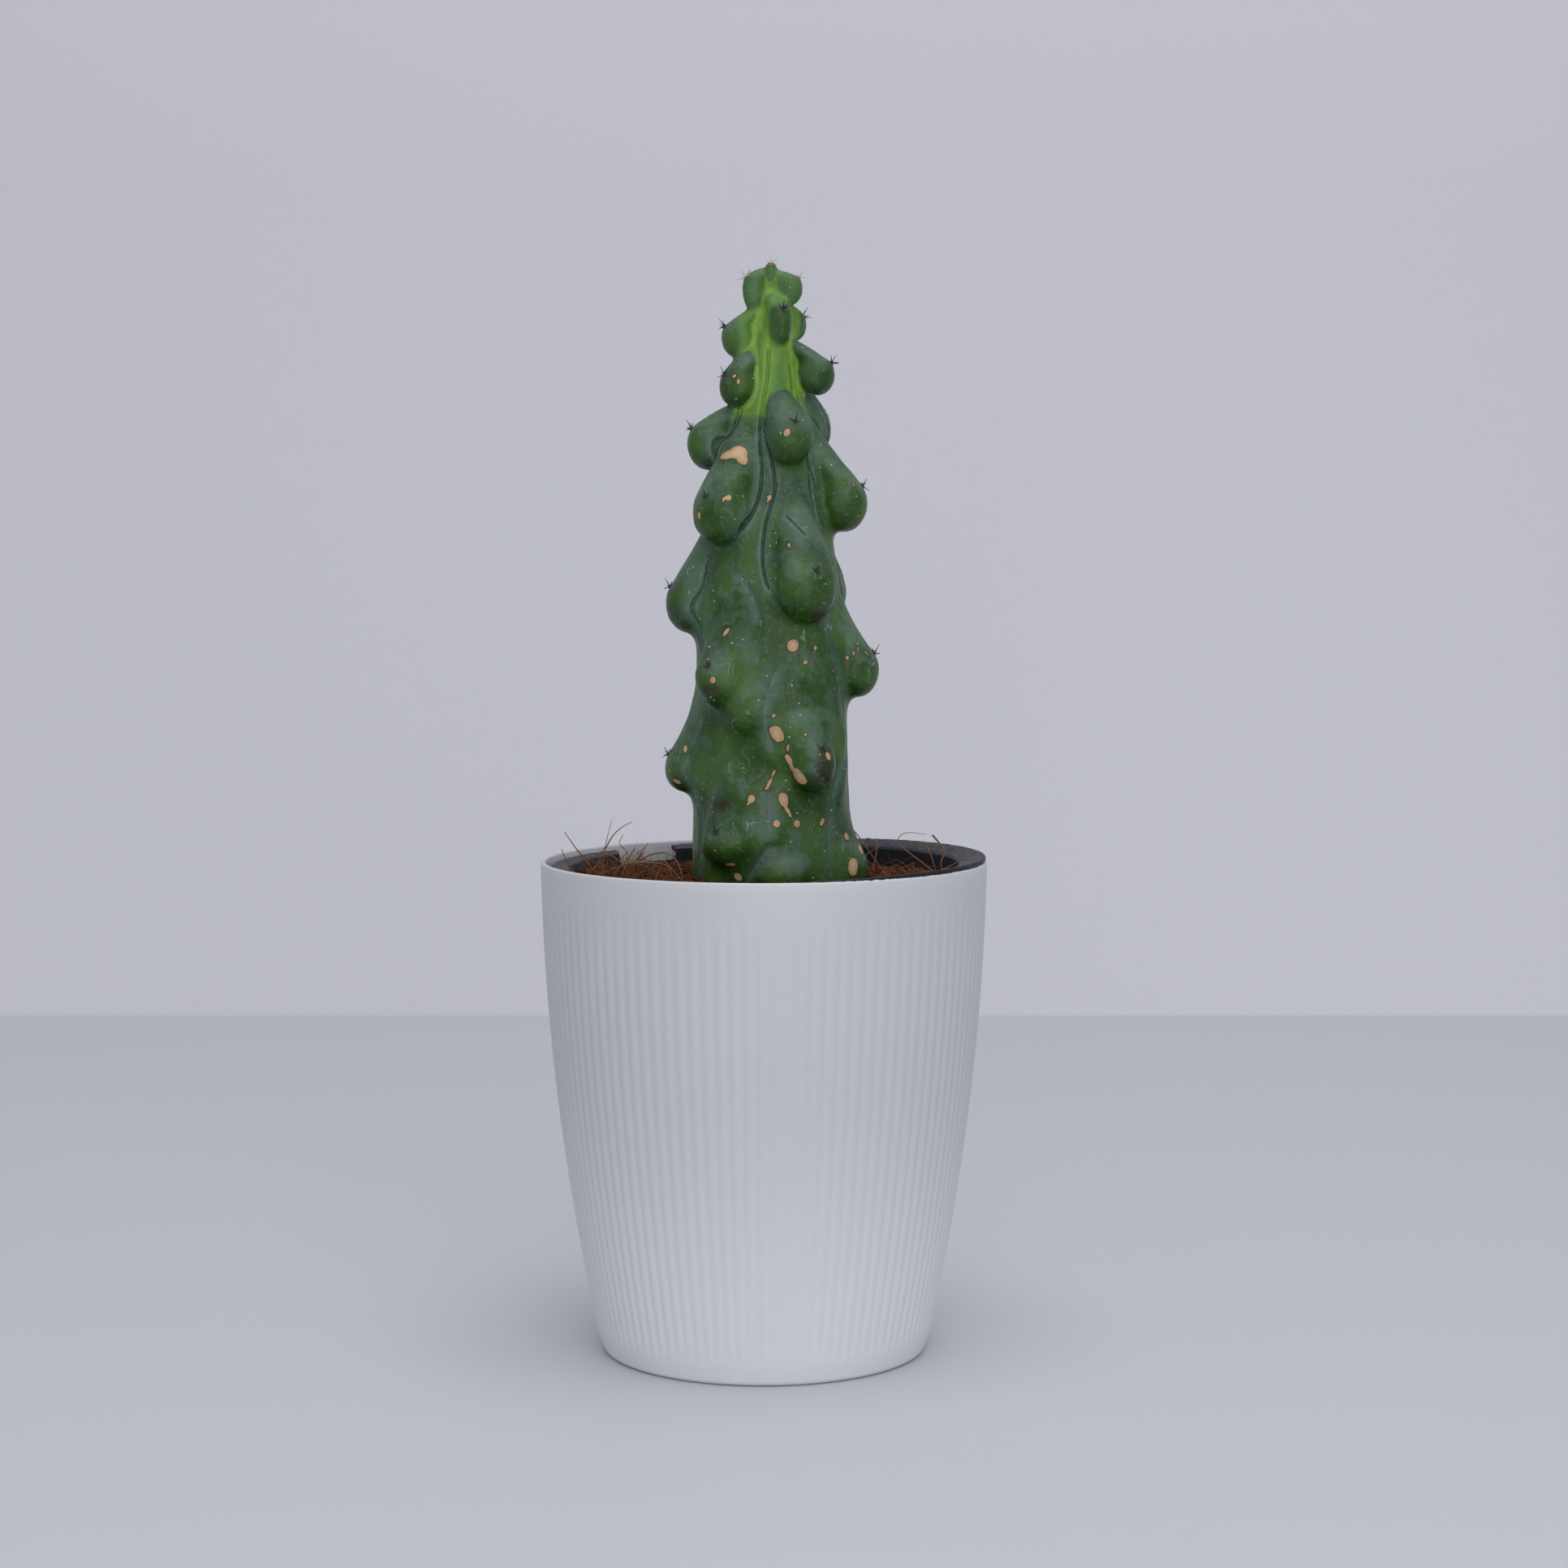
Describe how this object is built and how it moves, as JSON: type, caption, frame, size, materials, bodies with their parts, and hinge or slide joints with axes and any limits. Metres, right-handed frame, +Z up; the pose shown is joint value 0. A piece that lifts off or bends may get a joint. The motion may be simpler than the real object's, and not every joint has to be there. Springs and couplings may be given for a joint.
{
  "type": "potted tall cactus",
  "caption": "Knobbly column cactus growing in coir soil, in a black liner pot set into a white fluted outer pot with a watering notch.",
  "frame": {"origin": "centre of the outer pot's flat underside", "axes": "+Z up along the pot and the stem, -Y towards the front of the plant, +X to its right; the watering notch is at the back left"},
  "size_m": [0.12, 0.12, 0.2939],
  "materials": {
    "white_plastic": "satin",
    "black_plastic": "satin",
    "coir": "rough",
    "green_skin": "satin",
    "dark_spines": "matte",
    "coir_fibre": "matte"
  },
  "bodies": {
    "root": {"outer_pot": "white_plastic", "liner_pot": "black_plastic", "coir_soil": "coir", "cactus": "green_skin", "areole_01": "dark_spines", "areole_02": "dark_spines", "areole_03": "dark_spines", "areole_04": "dark_spines", "areole_05": "dark_spines", "areole_06": "dark_spines", "areole_07": "dark_spines", "areole_08": "dark_spines", "areole_09": "dark_spines", "areole_10": "dark_spines", "areole_11": "dark_spines", "areole_12": "dark_spines", "areole_13": "dark_spines", "areole_14": "dark_spines", "areole_15": "dark_spines", "areole_16": "dark_spines", "areole_17": "dark_spines", "areole_18": "dark_spines", "areole_19": "dark_spines", "areole_20": "dark_spines", "areole_21": "dark_spines", "areole_22": "dark_spines", "areole_23": "dark_spines", "areole_24": "dark_spines", "areole_25": "dark_spines", "areole_26": "dark_spines", "areole_27": "dark_spines", "coir_fibre_01": "coir_fibre", "coir_fibre_02": "coir_fibre", "coir_fibre_03": "coir_fibre", "coir_fibre_04": "coir_fibre", "coir_fibre_05": "coir_fibre", "coir_fibre_06": "coir_fibre"}
  },
  "joints": []
}
